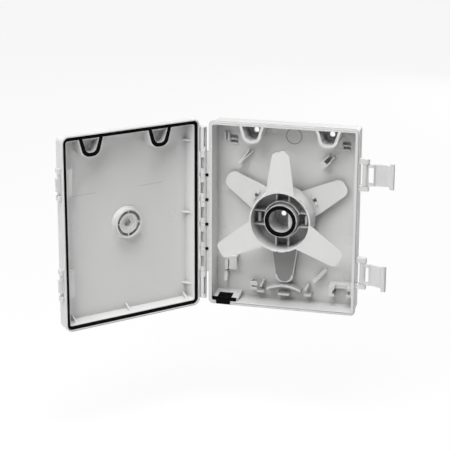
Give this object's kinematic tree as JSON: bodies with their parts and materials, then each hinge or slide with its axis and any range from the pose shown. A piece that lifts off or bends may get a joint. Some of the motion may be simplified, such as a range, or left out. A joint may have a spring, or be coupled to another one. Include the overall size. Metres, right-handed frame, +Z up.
{
  "type": "fibre distribution box",
  "caption": "Wall-mounted fibre distribution box, shown open: hinged lid with a rubber seal, side latches, and a finned drum that stores coiled fibre.",
  "frame": {"origin": "centre of the flat rear wall face, at mid width and mid height of the base's rim", "axes": "+Z up, +Y into the wall, so the box opens towards -Y; +X to the viewer's right, with the hinge on the -X side"},
  "size_m": [0.3002, 0.1417, 0.1896],
  "materials": {
    "housing_plastic": "off-white moulded plastic, fine satin texture",
    "lid_plastic": "off-white moulded plastic, satin",
    "drum_plastic": "off-white moulded plastic, satin",
    "latch_plastic": "white moulded plastic, satin",
    "pin_plastic": "white moulded plastic rod",
    "seal_rubber": "matt black rubber"
  },
  "bodies": {
    "base": {"base_housing": "housing_plastic", "storage_drum": "drum_plastic", "sealing_ring": "seal_rubber", "cable_grommet": "seal_rubber", "hinge_pin": "pin_plastic", "latch_pin_upper": "pin_plastic", "latch_pin_lower": "pin_plastic"},
    "lid": {"lid": "lid_plastic", "lid_gasket": "seal_rubber"},
    "latch_upper": {"latch_upper": "latch_plastic"},
    "latch_lower": {"latch_lower": "latch_plastic"}
  },
  "joints": [
    {"name": "lid_hinge", "type": "hinge", "parent": "base", "child": "lid", "pos_m": [-0.0796, -0.0236, 0], "axis": [0, 0, 1], "range_deg": [-49.3, 130.7]},
    {"name": "latch_upper_pivot", "type": "hinge", "parent": "base", "child": "latch_upper", "pos_m": [0.0804, -0.0235, 0.0494], "axis": [0, 0, -1], "range_deg": [-47, 88]},
    {"name": "latch_lower_pivot", "type": "hinge", "parent": "base", "child": "latch_lower", "pos_m": [0.0804, -0.0235, -0.049], "axis": [0, 0, -1], "range_deg": [-73, 62]}
  ]
}
